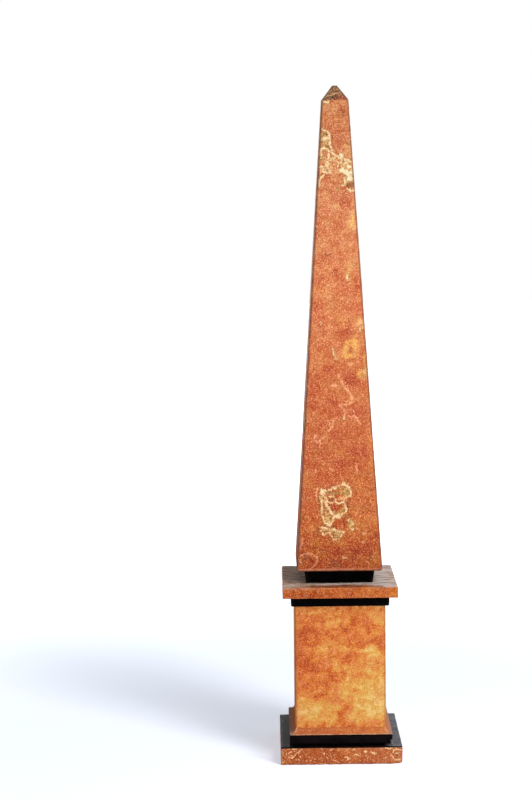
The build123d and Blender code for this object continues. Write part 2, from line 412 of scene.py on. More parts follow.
        (0.5, 13, 596, 5, 6), (0.95, 8, 512, 3.4, 8), (0.9, 22, 515, 4, 8), (0.9, 14, 503, 8, 3.4),
        (0.9, 14, 520, 7, 3.4), (0.8, 27, 541, 6, 7), (0.6, 25, 527, 3, 4), (0.45, 14, 511, 7, 7),
        (-0.8, 19, 511, 2.4, 2.8), (-0.4, 13, 515, 5, 1.0, -28), (-0.4, 13, 506.5, 3, 0.9, 24), (0.6, 34, 502, 4, 22),
        (0.7, 29, 482, 8, 5), (0.3, 14, 445, 8, 8), (0.5, 37, 405, 4, 20), (0.5, 40, 375, 4, 22), (0.6, 8, 335, 6, 6),
        (0.5, -12, 303, 5, 5), (0.6, 15, 296, 6, 6), (0.6, -1, 283, 6, 5), (0.35, 0, 684, 6, 6),
        (0.3, -13, 696, 8, 7), (0.3, -8, 567, 6, 8), (0.4, 46, 258, 5, 12), (0.3, 46, 300, 4, 14),
    ),
    "web": ((0.8, -13, 729, 9, 12), (0.6, -5, 741, 9, 8), (0.7, 12, 738, 8, 6)),
    "olive": (
        (1.0, -13, 771, 5, 6), (1.0, -13, 759, 5, 4), (0.7, -9, 765, 3, 10), (0.8, 14, 736, 7, 5),
        (0.7, 13, 718, 4, 5), (0.5, -18, 318, 4, 14), (0.5, 6, 338, 9, 7), (0.4, 0, 310, 9, 5), (0.4, -8, 285, 12, 6),
        (0.6, 15, 296, 6, 7), (0.5, 15, 606, 7, 6), (0.4, 14, 571, 6, 6), (0.5, -8, 566, 5, 7), (0.5, 30, 478, 6, 3),
        (0.4, 2, 706, 4, 4), (0.5, 9, 797, 2, 4), (0.5, 15, 760, 4, 3), (0.35, -22, 388, 7, 6), (0.35, 24, 356, 5, 6),
        (0.5, 20, 508, 4, 3), (0.4, -24, 311, 4, 20),
    ),
}

# the front slab of the die: red to the upper left, gold to the lower right
DIE_CLOUDS = (
    (0.34, 44, 78, 30, 38), (0.24, -34, 63, 26, 12, -5), (-0.22, -48, 152, 14, 34), (-0.14, -34, 168, 14, 14),
    (-0.18, -47, 118, 13, 18), (-0.14, -28, 117, 19, 8, -12), (-0.16, -30, 98, 22, 7), (-0.20, -30, 82, 8, 8),
    (-0.22, 20, 177, 16, 6, 42), (-0.20, 0, 163, 11, 3), (-0.14, 34, 168, 12, 8, -20), (-0.22, 38, 151, 22, 5, 4),
    (-0.22, 54, 145, 6, 8), (-0.16, 22, 142, 9, 7, 40), (-0.20, 9, 130, 9, 7), (0.20, -6, 174, 12, 8),
    (0.16, -16, 142, 18, 8), (0.12, -38, 134, 14, 4), (0.26, 33, 140, 13, 5), (0.22, 43, 130, 10, 8),
    (0.24, -5, 118, 6, 4, -30), (0.18, 6, 90, 10, 12), (0.16, 34, 113, 20, 3, 4), (-0.30, 0, 56, 6, 15),
    (-0.28, 11, 66, 6, 9), (-0.34, 50, 48, 10, 5), (0.14, 48, 184, 12, 12), (0.10, -30, 188, 14, 6),
    (-0.26, 0, 41, 80, 2), (-0.12, 10, 191, 14, 4), (-0.14, -8, 108, 9, 5), (0.10, 28, 122, 12, 5),
    (0.08, -52, 68, 5, 16), (-0.13, -36, 163, 14, 9), (-0.16, 14, 158, 12, 11), (-0.13, 47, 149, 11, 10),
    (-0.09, -50, 180, 8, 8), (0.09, 34, 184, 10, 7), (0.08, 0, 106, 10, 8), (0.10, 4, 84, 18, 9),
    (0.15, -26, 64, 22, 11), (0.16, 24, 62, 16, 12), (0.10, -6, 70, 10, 9), (0.10, 36, 72, 22, 26),
    (0.14, 31, 140, 10, 5), (0.12, 42, 133, 7, 5), (-0.34, -9, 165.5, 8, 1.6, -8), (-0.24, 2, 160, 7, 1.4, 12),
    (0.22, -4, 162, 4, 1.6),
)

PLINTH_FRONT = (
    (0.6, (-66, 15), (-62, 17)), (0.6, (-61, 9), (-57, 13)), (0.6, (-53, 14), (-52, 18)),
    (0.7, (-60, 20.5), (-56, 21)), (0.5, (-65, 11), (-62, 9.5)), (0.6, (4, 9), (7, 10), (9, 8), (7, 6)),
    (0.5, (-10, 6), (-7, 4), (-3, 3)), (0.4, (35, 15), (37, 17)), (0.5, (38, 15), (41, 14)),
    (0.4, (40, 12), (41, 14)), (0.6, (54, 21), (58, 19), (62, 20)),
    (0.7, (63, 14), (64.5, 17.5), (69, 19), (73, 17.5)), (0.7, (63, 10.5), (64, 7), (68, 5), (72, 6)),
    (0.6, (16, 12), (19, 13), (21, 11)), (0.5, (66, 13), (69, 14), (71, 11)), (0.5, (13, 18), (16, 20)),
)
PLINTH_SHELLS = ((39, 14.5, 2.2, 1.2, 10), (-22, 14, 1.0, 0.9), (-53, 7, 0.9, 0.9), (29, 16, 2.0, 1.2))
PLINTH_RINGS = ((68, 12, 2.0, 2.2),)

SHAFT_SEED, PLINTH_SEED = 300, 400
MARKED_HEIGHTS = (250, 800)     # where the shaft's scattered marks lie


def shaft_half(height):
    """Half the shaft's width at a height."""
    foot_half, top_half = half("shaft_front"), half("pyramidion")
    return foot_half - (height - SHAFT_FOOT) * (foot_half - top_half) / (SHAFT_TOP - SHAFT_FOOT)


def shaft_marks(side):
    """The marks of a shaft slab. The front's are drawn above, the others' are scattered by number."""
    if side == "front":
        return SHAFT_FRONT
    rng = np.random.default_rng(SHAFT_SEED + SIDES.index(side))

    def anywhere(margin):
        z = rng.uniform(*MARKED_HEIGHTS)
        reach = max(2.0, shaft_half(z) - margin)
        return rng.uniform(-reach, reach), z

    def clouds(count, strengths, margin, smallest, largest):
        return [(rng.uniform(*strengths), *anywhere(margin), *rng.uniform(smallest, largest, 2)) for _ in range(count)]

    # knots: a ring of cream with a bar across it, stains inside and dark spots outside
    cream, spots, faint, dark, shade, fill, knots = [], [], [], [], [], [], []
    for _ in range(4):
        u, z = anywhere(14)
        knots.append((u, z))
        size = rng.uniform(6, 13)
        turns = np.sort(rng.uniform(0, 2 * math.pi, 8))
        reach = size * rng.uniform(0.6, 1.2, 8)
        ring = [(u + 0.8 * r * math.cos(a), z + r * math.sin(a)) for r, a in zip(reach, turns)]
        cream += [(rng.uniform(0.8, 1.4), *ring[:6]), (rng.uniform(0.7, 1.1), ring[0], (u, z), ring[4])]
        spots += [(*ring[i], *rng.uniform(1.2, 3.6, 2), rng.uniform(0, 180)) for i in (1, 4, 6)]
        fill += [
            (a + (u - a) * 0.4, b + (z - b) * 0.4, *rng.uniform(2.0, 5.0, 2), rng.uniform(0, 180))
            for a, b in ring[::2]
        ]
        dark += [(1.0, *[(u + (a - u) * 1.35, z + (b - z) * 1.35) for a, b in ring[2:5]])]
        shade += [(u + rng.uniform(-3, 3), z + rng.uniform(-3, 3), 2.6, 1.8, rng.uniform(0, 180))]

    # crescents
    for _ in range(16):
        u, z = anywhere(8)
        turn, bow = rng.uniform(0, 360), rng.uniform(25, 60)
        path = [(u, z)]
        for _ in range(4):
            u, z = u + 4 * math.cos(math.radians(turn)), z + 4 * math.sin(math.radians(turn))
            path.append((u, z))
            turn += bow
        faint.append((rng.uniform(0.7, 1.3), *path))

    spots += [(*anywhere(6), *rng.uniform(0.8, 2.4, 2)) for _ in range(14)]
    shade += [(*anywhere(6), *rng.uniform(0.9, 2.6, 2)) for _ in range(24)]
    tone = [(rng.choice((-0.2, -0.15, 0.15, 0.2)), *anywhere(4), *rng.uniform(4, 16, 2)) for _ in range(60)]
    gold = clouds(20, (0.3, 0.8), 3, 4, 12)
    web = [(1.1, *anywhere(8), *rng.uniform(8, 15, 2)) for _ in range(3)]
    olive = [(rng.uniform(0.6, 1.0), u, z, wide * 1.6, high * 1.6) for _, u, z, wide, high in web]
    olive += clouds(14, (0.4, 1.0), 3, 3, 8)
    olive += [(0.9, *knot, 8, 10) for knot in knots]
    return {
        "cream": (cream, spots), "fill": ((), fill), "faint": (faint, ()), "dark": (dark, shade),
        "tone": tone, "gold": gold, "web": web, "olive": olive,
    }


def die_marks(side):
    """The clouds of a die slab. The others are turned over from the front's, as slabs of one block are."""
    across, up = {"front": (1, 1), "right": (-1, 1), "back": (1, -1), "left": (-1, -1)}[side]
    middle = sum(levels_of("die_front")) / 2
    return {"tone": [
        (strength, u * across, middle + (z - middle) * up, wide, high, (turn[0] if turn else 0) * across * up)
        for strength, u, z, wide, high, *turn in DIE_CLOUDS
    ]}


def plinth_marks(side):
    """Shell fragments of a plinth slab: some drawn for the front, the rest scattered."""
    rng = np.random.default_rng(PLINTH_SEED + SIDES.index(side))
    front = side == "front"
    lines = list(PLINTH_FRONT) if front else []
    for _ in range(46):
        u, z = rng.uniform(-73, 73), rng.uniform(1, 21)
        turn = rng.uniform(0, 2 * math.pi)
        reach = rng.uniform(0.3, 1.8)
        lines.append((rng.uniform(0.25, 0.6), (u, z), (u + reach * math.cos(turn), z + reach * math.sin(turn))))
    return {"cream": (lines, PLINTH_SHELLS if front else ()), "dark": ((), PLINTH_RINGS if front else ())}


# ---------------------------------------------------------------- square-turned stone

ARRIS_ANGLES = (45, 34, 23, 12, 0)      # the columns round an arris
COLUMN_GROWTH = 1.35


def columns(half_width, radius, fine, coarse, edge_zone):
    """Where the grid's columns stand across a side: (distances from the arris, the last of them, shares of the
    middle)."""
    offsets, reach, step = [], radius, fine
    while reach + step < edge_zone:
        reach += step
        offsets.append(reach)
        step *= COLUMN_GROWTH
    count = max(2, math.ceil(2 * (half_width - reach) / coarse))
    return offsets, reach, np.linspace(-1, 1, count + 1)[1:-1]


class Form:
    """A square-turned stone: its outline from the middle outwards and back, the radius of its arrises, the spacing
    of its grid's columns, and how its edges are worn: wobble is how uneven they are, and scoops are single chips.
    Arrises is (edges, every so many millimetres, chip widths, chip depths); a rim is the same with (half width,
    height, rise) for its edges, and is rubbed uneven too. Columns stand closer in the edge zone, from fine up."""

    ripple_sizes = (7.0, 2.0)
    arris_reach, rim_reach = 1.6, 1.3       # how softly the rubbing ends
    rim_corner = 3                          # how far from its corners a rim is pushed in sideways
    chip_paleness = 2.5                     # wear for each millimetre of a chip's depth

    def __init__(self, outline, half_width, radius, spacing, wobble, seed, chip_seed, arrises=None, rims=(),
                 scoops=(), fine=0.3, edge_zone=9):
        self.outline, self.radius = outline, radius
        self.layout = columns(half_width, radius, fine, spacing, edge_zone)
        self.wobble, self.seed = wobble, seed
        self.rims = [rim for rim, *_ in rims]
        self.chips = Chips()
        rows = ([arrises] if arrises else []) + [(level_edges(*rim), *chances) for rim, *chances in rims]
        for number, row in enumerate(rows):
            self.chips.scatter(chip_seed + number, *row)
        for scoop in scoops:
            self.chips.add(*scoop)

    def side_points(self):
        """The front side: rows follow the outline, columns run from left to right."""
        offsets, reach, shares = self.layout
        halves, heights = self.outline.T
        # an arris and the columns beside it shrink where the side narrows to the middle
        small = np.minimum(self.radius, halves * 0.6)
        scale = np.minimum(1.0, halves * 0.9 / max(reach, 1e-6))
        xs = [-(halves - small + small * math.sin(angle)) for angle in np.radians(ARRIS_ANGLES)]
        ys = [-(halves - small + small * math.cos(angle)) for angle in np.radians(ARRIS_ANGLES)]
        xs += [-(halves - small - (offset - self.radius) * scale) for offset in offsets]
        ys += [-halves] * len(offsets)
        middle = [(halves - small - (reach - self.radius) * scale) * share for share in shares]
        xs += middle + [-x for x in xs[::-1]]
        ys += [-halves] * len(middle) + ys[::-1]
        return np.stack((np.stack(xs, 1), np.stack(ys, 1), np.stack([heights] * len(xs), 1)), 2)

    def worn_side(self, quarter):
        """A side's points in their place, its edges uneven and chipped, and the wear at each point."""
        grid = self.side_points()
        points = grid.reshape(-1, 3)
        world = turned(points, quarter)
        slow, quick = (ripple(world, size, self.seed + number) for number, size in enumerate(self.ripple_sizes))
        soft = 0.5 + 0.5 * slow + 0.35 * quick
        from_arris = np.abs(points[:, 1]) - np.abs(points[:, 0])
        upright = np.exp(-np.clip(from_arris - self.radius * 0.3, 0, None) / self.arris_reach)
        rub = self.wobble * np.clip(soft, 0, 1.6)
        level = np.zeros(len(points))
        for rim_half, rim_height, rise in self.rims:
            away = np.hypot(points[:, 1] + rim_half, points[:, 2] - rim_height)
            near = np.exp(-np.clip(away - 0.3, 0, None) / self.rim_reach)
            from_arris = np.abs(points[:, 1]) - np.abs(points[:, 0])
            inset = np.clip(1 - (from_arris - self.radius) / self.rim_corner, 0, 1)
            push = rub * near
            points = points + np.column_stack((-np.sign(points[:, 0]) * push * inset, push, rise * push))
            level = np.maximum(level, near)
        zeros = np.zeros(len(points))
        diagonal = np.column_stack((-np.sign(points[:, 0]), zeros + 1, zeros)) / math.sqrt(2)
        world = turned(points, quarter) + turned(diagonal, quarter) * (rub * upright)[:, None]
        world, depth = self.chips.cut(world, self.seed + 2)
        wear = np.clip(np.maximum(upright, level) * (0.35 + 0.9 * soft) + depth * self.chip_paleness, 0, 1)
        return world.reshape(grid.shape), wear.reshape(grid.shape[:2])


def make_object(name, points, quads, flats, attributes, material, replaced):
    """A closed mesh piece from points, quads shaded smooth and plane faces shaded flat."""
    mesh = bpy.data.meshes.new(name)
    faces = quads.tolist() + [flat.tolist() for flat in flats]
    mesh.from_pydata((points * MM).tolist(), [], faces)
    mesh.polygons.foreach_set("use_smooth", np.arange(len(faces)) < len(quads))
    for key, values in attributes.items():
        kind, field = ("FLOAT_VECTOR", "vector") if values.ndim == 2 else ("FLOAT", "value")
        mesh.attributes.new(key, kind, "POINT").data.foreach_set(field, values.astype(np.float32).ravel())
    mesh.materials.append(material)
    mesh.validate()
    piece = bpy.data.objects.new(name, mesh)
    bpy.context.scene.collection.objects.link(piece)
    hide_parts(replaced)
    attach(piece, "root")


# where each slab's figure lies in the block that they are all sawn from
FIGURE_SHIFTS = np.array(((0, 0, 0), (900, 0, 310), (1700, 0, 760), (2600, 0, 1240)), float)


def facing(name, group, side, form, material, marks):
    """One mitred slab of four round a core. Its outline runs from the core at its foot to the core at its top."""
    quarter = SIDES.index(side)
    world, wear = form.worn_side(quarter)
    index = np.arange(wear.size).reshape(wear.shape)
    world = world.reshape(-1, 3)
    quads = np.stack((index[:-1, :-1], index[:-1, 1:], index[1:, 1:], index[1:, :-1]), -1).reshape(-1, 4)
    flats = [index[:, 0], index[:, -1][::-1], np.concatenate((index[0][::-1], index[-1]))]
    face = turned(world, (4 - quarter) % 4)
    attributes = {"slab": face + FIGURE_SHIFTS[quarter], "wear": wear.ravel()}
    if marks:
        attributes |= mark_attributes(face[:, (0, 2)], marks, form.seed + 7 * quarter)
    make_object(f"{name}_{side}", world, quads, flats, attributes, material, f"{group}_{side}")


def facings(name, group, form, stone, marks_of=None, dull=None, sides=SIDES):
    """The slabs round a core. The left one is of the dull stone, where there is one."""
    for side in sides:
        material = dull if dull and side == "left" else stone
        facing(name, group, side, form, material, marks_of and marks_of(side))


def block(name, node, form, material):
    """A whole square slab. Its outline runs from the middle of its underside to the middle of its top."""
    sides = [form.worn_side(quarter) for quarter in range(4)]
    points = np.concatenate([world[:, :-1] for world, _ in sides], 1).reshape(-1, 3)
    wear = np.concatenate([side_wear[:, :-1] for _, side_wear in sides], 1)
    index = np.arange(wear.size).reshape(wear.shape)
    after = np.roll(index, -1, 1)
    quads = np.stack((index[:-1], after[:-1], after[1:], index[1:]), -1).reshape(-1, 4)
    flats = [index[0][::-1], index[-1]]
    make_object(name, points, quads, flats, {"slab": points, "wear": wear.ravel()}, material, node)


# ---------------------------------------------------------------- node graphs

def srgb(r, g, b):
    """A colour given as 0-255 screen values, as Blender's linear numbers."""
    shares = (value / 255 for value in (r, g, b))
    return (*(v / 12.92 if v <= 0.04045 else ((v + 0.055) / 1.055) ** 2.4 for v in shares), 1.0)


class Graph:
    """The node graph of a material or world, built from small calls that each give back an output socket.
    The graph keeps a stone's colour, which is painted over and over."""

    def __init__(self, owner):
        self.owner, self.colour = owner, None
        owner.use_nodes = True
        owner.node_tree.nodes.clear()

    def node(self, kind, inputs=(), **settings):
        """A new node's outputs. Its inputs are values or sockets, in order or by name or number."""
        node = self.owner.node_tree.nodes.new("ShaderNode" + kind)
        for key, value in settings.items():
            setattr(node, key, value)
        for key, value in inputs.items() if isinstance(inputs, dict) else enumerate(inputs):
            if isinstance(value, bpy.types.NodeSocket):
                self.owner.node_tree.links.new(value, node.inputs[key])
            else:
                node.inputs[key].default_value = value
        return node.outputs

    def attribute(self, name, out="Vector"):
        return self.node("Attribute", attribute_name=name)[out]

    def object_mm(self):
        return self.scaled(self.node("TexCoord")["Object"], 1 / MM)

    def vector(self, operation, *values, out=0):
        return self.node("VectorMath", values, operation=operation)[out]

    def scaled(self, a, factor):
        return self.node("VectorMath", {0: a, "Scale": factor}, operation="SCALE")[0]

    def math(self, operation, *values):
        return self.node("Math", values, operation=operation)[0]

    def add(self, *terms):
        return functools.reduce(functools.partial(self.math, "ADD"), terms)

    def times(self, *terms):
        return functools.reduce(functools.partial(self.math, "MULTIPLY"), terms)

    def most(self, *terms):
        return functools.reduce(functools.partial(self.math, "MAXIMUM"), terms)

    def away(self, value, other):
        """How far a value is from another."""
        return self.math("ABSOLUTE", self.math("SUBTRACT", value, other))

    def swing(self, value, amount):
        """A 0-1 field as a swing of -amount to +amount about nought."""
        return self.times(self.math("SUBTRACT", value, 0.5), 2 * amount)

    def span(self, value, low, high, to_low=0.0, to_high=1.0, smooth=True):
        """Maps low..high to to_low..to_high and stops there."""
        inputs = {"Value": value, "From Min": low, "From Max": high, "To Min": to_low, "To Max": to_high}
        return self.node("MapRange", inputs, clamp=True, interpolation_type="SMOOTHSTEP" if smooth else "LINEAR")[0]

    def noise(self, place, size, detail=3.0, rough=0.5, warp=0.0, out="Fac"):
        inputs = {"Vector": place, "Scale": 1 / size, "Detail": detail, "Roughness": rough, "Distortion": warp}
        return self.node("TexNoise", inputs)[out]

    def patches(self, place, size, detail, rough, *limits):
        """Noise cut to patches: the limits are those of span."""
        return self.span(self.noise(place, size, detail, rough), *limits)

    def cells(self, place, size, feature="F1", out="Distance"):
        return self.node("TexVoronoi", {"Vector": place, "Scale": 1 / size}, feature=feature)[out]

    def cell_tone(self, place, size, which=0):
        """One random number for each whole cell."""
        return self.node("SeparateColor", (self.cells(place, size, out="Color"),))[which]

    def parts(self, place):
        return self.node("SeparateXYZ", (place,))[:3]

    def warped(self, place, size, amount, detail=2.0):
        """The place, pushed about by a random field."""
        field = self.vector("SUBTRACT", self.noise(place, size, detail, out="Color"), (0.5, 0.5, 0.5))
        return self.vector("ADD", place, self.scaled(field, 2 * amount))

    def ramp(self, value, stops, linear=False):
        """A ramp of colours: each stop is its position, then the colour's three screen values or linear shares."""
        socket = self.node("ValToRGB", (value,))[0]
        elements = socket.node.color_ramp.elements
        while len(elements) < len(stops):
            elements.new(0.5)
        for element, (position, *colour) in zip(elements, stops):
            element.position = position
            element.color = (*colour, 1.0) if linear else srgb(*colour)
        return socket

    def mix(self, share, *colours):
        """Two colours mixed. A colour is a socket, three screen values or four linear ones."""
        a, b = (srgb(*colour) if isinstance(colour, tuple) and len(colour) == 3 else colour for colour in colours)
        return self.node("Mix", {0: share, 6: a, 7: b}, data_type="RGBA")[2]

    def paint(self, colour, *shares):
        """Paints a colour over the stone's, as strongly as the product of the shares."""
        self.colour = self.mix(self.times(*shares), self.colour, colour)

    def upward(self):
        """1 where a surface faces up, 0 where it is upright or faces down."""
        return self.span(self.parts(self.node("NewGeometry")["Normal"])[2], 0.75, 0.97)

    def shells(self, bent, place, size, ring, thick, chosen, break_size, whole):
        """Sections of shells: rings that far from the middles of the chosen cells, broken into pieces."""
        rings = self.span(self.away(self.cells(bent, size), ring), thick, 0.03)
        breaks = self.patches(place, break_size, 2, 0.5, 0.42, whole)
        return self.times(rings, self.span(self.cell_tone(bent, size), *chosen), breaks)

    def grained(self, place, size, light, dark, step=None):
        """Gives the stone fine grain, which lightens and darkens all of its colour by the same step."""
        field = self.add(
            self.times(self.noise(place, size, 3, 0.7), 0.7), self.times(self.cell_tone(place, size * 0.75, 1), 0.3))
        lift = self.math(
            "SUBTRACT", self.span(field, 0.50, 0.80, 0, light), self.span(field, 0.55, 0.20, 0, dark, smooth=False))
        lifted = self.vector("ADD", self.colour, self.scaled(GRAIN_STEP if step is None else step, lift))
        self.colour = self.vector("MAXIMUM", lifted, DARKEST_GRAIN)
        return field

    def shade_arris(self, place, colour, reach, share):
        """A dark, broken line of painted shade along the upright arrises, where x and y are as far out."""
        out_x, out_y = (self.math("ABSOLUTE", part) for part in self.parts(self.object_mm())[:2])
        broken = self.patches(place, 8, 4, 0.6, 0.34, 0.56, 0.45, 1.0)
        self.paint(colour, self.span(self.away(out_x, out_y), reach, reach * 0.55), broken, share)

    def finish(self, roughness, specular, bump, height):
        """The material, its relief that many millimetres high."""
        normal = self.node("Bump", {"Strength": 1.0, "Distance": height * MM, "Height": bump})[0]
        shader = self.node("BsdfPrincipled", {
            "Base Color": self.colour, "Roughness": roughness, "Specular IOR Level": specular, "Normal": normal})
        self.node("OutputMaterial", (shader[0],))
        return self.owner


# ---------------------------------------------------------------- materials

GRAIN_STEP = (1.78, 1.36, 0.87)         # an even step of a red-orange on the screen, as linear light
DARKEST_GRAIN = (0.012, 0.006, 0.004)


def new_graph(name):
    """A new material's graph, with the place in the slab and the wear that every piece carries."""
    g = Graph(bpy.data.materials.new(name))
    return g, g.attribute("slab"), g.attribute("wear", "Fac")


# how much red, green and blue is left at each share of the shaft's height
SHAFT_TINT = (
    (0.00, 0.50, 0.285, 0.08), (0.05, 0.59, 0.375, 0.145), (0.11, 0.74, 0.53, 0.31), (0.27, 0.74, 0.53, 0.40),
    (0.44, 0.84, 0.70, 0.56), (0.61, 0.93, 0.88, 0.77), (0.80, 0.90, 0.93, 0.89), (0.88, 0.85, 0.88, 0.84),
    (1.00, 0.79, 0.83, 0.75),
)


def shaft_marble(name, dull=0.0):
    """Red-orange nodular marble, lighter and pinker high up, redder and darker at the foot."""
    g, place, wear = new_graph(name)
    height = g.parts(g.object_mm())[2]
    cream_gap, faint_gap, dark_gap = g.parts(g.attribute("gaps"))
    tone_cloud, gold, web_zone = g.parts(g.attribute("clouds"))
    near = g.warped(place, 9, 2.2)
    bent = g.warped(place, 6, 1.7, 3)

    # the ground, with pink, yellow and golden clouds
    patch = g.noise(near, 15, 5, 0.60, 0.5)
    tone = g.add(
        0.47, tone_cloud, g.swing(g.noise(place, 60, 4, 0.55, 0.6), 0.36), g.swing(patch, 0.60),
        g.swing(g.cell_tone(near, 6.5), 0.10), g.swing(g.cells(near, 6.5, "SMOOTH_F1"), -0.12))
    g.colour = g.ramp(tone, (
        (0.00, 188, 88, 60), (0.25, 209, 114, 76), (0.50, 223, 136, 92), (0.75, 232, 160, 110), (1.00, 242, 188, 136)))
    g.paint((218, 116, 86), g.span(g.noise(place, 34, 3, 0.5, 0.5), 0.5, 0.66, 0, 0.40))
    g.paint((232, 160, 84), g.span(g.noise(near, 30, 5, 0.6, 0.8), 0.55, 0.70, 0, 0.35))
    gold = g.times(gold, g.patches(place, 4, 4, 0.65, 0.34, 0.60, 0.45, 1.15))
    bright = g.mix(g.span(height, 420, 480), (248, 178, 108), (255, 200, 118))
    g.paint(bright, g.span(gold, 0.12, 0.85, 0, 0.95))

    # pale shell crescents; then the block grows redder and darker downward, with dark specks and mottling
    shells = g.shells(bent, place, 5.2, 0.42, 0.14, (0.62, 0.75), 2.6, 0.60)
    g.paint((244, 196, 142), shells, 0.50)
    tint = g.ramp(g.span(height, SHAFT_FOOT, SHAFT_TOP, smooth=False), SHAFT_TINT, linear=True)
    g.colour = g.vector("MULTIPLY", g.colour, tint)
    specks = g.span(g.cells(near, 3.4), 0.20, 0.06)
    g.paint((118, 66, 40), specks, g.patches(place, 15, 3, 0.6, 0.47, 0.64), 0.6)
    mottle = g.times(g.patches(near, 10, 5, 0.7, 0.50, 0.68), g.span(height, 420, 250, 0.08, 0.70))
    g.paint((122, 66, 36), mottle)

    # drawn stains and fillings, dark lines and faint crescents, their rims broken up
    ragged = g.add(g.swing(g.noise(place, 2.6, 3, 0.65), 2.6), g.swing(g.noise(place, 1.2, 2), 1.2))
    stained = g.mix(g.patches(place, 2.4, 3, 0.6, 0.40, 0.58), (160, 112, 52), (220, 180, 112))
    stain = g.times(g.attribute("olive", "Fac"), g.patches(near, 3.0, 3, 0.65, 0.36, 0.56, 0.2, 1.1))
    g.paint(stained, g.span(stain, 0.12, 0.9, 0, 0.65, smooth=False))
    fill = g.add(g.attribute("fill", "Fac"), g.times(ragged, 0.6))
    g.paint(stained, g.span(fill, 0.6, -0.7, 0, 0.85))
    g.paint((118, 70, 34), g.span(g.add(dark_gap, ragged), 0.8, -0.9, 0, 0.66))
    faint = g.span(g.add(faint_gap, g.times(ragged, 0.7)), 0.65, -0.7)
    faint = g.times(faint, g.span(height, 250, 330, 0.55, 1.0), g.patches(place, 3, 3, 0.6, 0.34, 0.56, 0.36, 0.84))
    g.paint((244, 172, 126), faint)

    # knots and webs of cream, paler inside, and the dark halo round them
    inside = g.add(cream_gap, g.times(ragged, 1.35), g.swing(g.noise(place, 1.7, 2, 0.6), 1.2))
    halo = g.times(g.span(inside, 3.0, 0.6, 0, 0.42), g.patches(place, 4.5, 4, 0.7, 0.40, 0.56, 0.15, 1.0))
    g.paint((138, 76, 38), halo)
    high = g.span(height, 420, 680)
    rim = g.mix(high, (230, 184, 128), (236, 194, 138))
    pale = g.mix(g.span(inside, -0.1, -1.5), rim, g.mix(high, (246, 220, 172), (244, 228, 188)))
    web = g.span(g.cells(g.warped(place, 6, 2.6, 3), 6.5, "DISTANCE_TO_EDGE"), 0.20, 0.08, 0, 0.8)
    web = g.times(web, g.span(web_zone, 0.30, 0.70), g.patches(place, 4, 2, 0.5, 0.34, 0.50, 0.2, 1.0))
    cream = g.most(g.span(inside, 0.75, -0.25), web)
    g.paint(pale, cream, g.patches(place, 2.2, 3, 0.65, 0.32, 0.46, 0.55, 1.0))

    # grain, rubbed edges, painted shade along the arrises, and the foot's pale rim, a painted highlight that is in part
    # rubbed wear, over a band of painted shade on the foot's rounded underside
    step = g.vector("MULTIPLY", g.mix(0.75, (1, 1, 1, 1), tint), GRAIN_STEP)
    step = g.scaled(step, g.span(height, 250, 560, 1.50, 1.12))
    grain = g.grained(place, 1.5, 0.23, 0.10, step)
    g.paint((206, 142, 104), wear, 0.24)
    g.shade_arris(place, (92, 60, 46), 2.8, 0.64)
    # a painted highlight along the foot's lower arris, in part rubbed wear
    pale_edge = g.times(g.span(height, 242.0, 240.2), g.patches(place, 7, 3, 0.5, 0.36, 0.54, 0.15, 0.55))
    g.paint((214, 142, 112), pale_edge)
    # painted shade on the foot's rounded underside
    g.paint((84, 34, 20), g.span(height, 239.2, 238.2, 0, 0.65))

    rough = g.add(0.42 + dull, g.swing(g.noise(place, 14, 4, 0.6), 0.16), g.swing(grain, 0.10), g.times(wear, 0.2))
    bump = g.add(g.times(grain, 0.6), g.times(patch, 1.2), g.times(specks, -0.5), g.times(cream, 0.4))
    return g.finish(rough, 0.02 if dull else 0.2, bump, 0.10)


def die_marble(name, dull=0.0):
    """Golden cloudy marble: red-orange, orange and yellow clouds that run into each other."""
    g, place, wear = new_graph(name)
    tone_cloud = g.parts(g.attribute("clouds"))[0]
    near = g.warped(place, 9, 4, 3)
    cloud = g.noise(g.warped(place, 24, 7, 3), 34, 5, 0.62, 0.9)
    fine = g.noise(near, 8, 5, 0.68, 0.5)
    streak = g.noise(g.vector("MULTIPLY", near, (1.0, 1.0, 2.2)), 18, 4, 0.62, 0.8)
    tone = g.add(0.47, g.times(tone_cloud, 1.12), g.swing(cloud, 0.30), g.swing(fine, 0.72), g.swing(streak, 0.50))
    g.colour = g.ramp(tone, (
        (0.00, 186, 84, 32), (0.22, 205, 102, 43), (0.42, 220, 126, 59), (0.58, 227, 147, 74), (0.75, 229, 166, 82),
        (0.90, 230, 180, 92), (1.00, 240, 196, 120)))

    # rose clouds, dark specks, red hairlines and pale wisps
    g.paint((226, 130, 84), g.patches(near, 19, 4, 0.6, 0.5, 0.66, 0, 0.40))
    specks = g.times(g.span(g.cells(near, 4.6), 0.14, 0.03, 0, 0.7), g.patches(place, 12, 3, 0.5, 0.47, 0.6))
    g.paint((128, 66, 32), specks)
    hair = g.span(g.cells(g.warped(place, 12, 6, 4), 26, "DISTANCE_TO_EDGE"), 0.025, 0.0, 0, 0.4)
    g.paint((176, 84, 42), hair, g.patches(place, 18, 2, 0.5, 0.45, 0.6))
    g.paint((246, 194, 124), g.patches(g.warped(place, 5, 3, 3), 7, 5, 0.7, 0.58, 0.70, 0, 0.40))

    grain = g.grained(place, 1.6, 0.155, 0.09)
    g.paint((222, 160, 100), wear, 0.25)
    # painted shade along the upright arrises
    g.shade_arris(place, (120, 70, 42), 2.4, 0.45)
    rough = g.add(0.40 + dull, g.swing(fine, 0.14), g.times(wear, 0.2))
    return g.finish(rough, 0.02 if dull else 0.2, g.add(g.times(grain, 0.5), fine), 0.10)


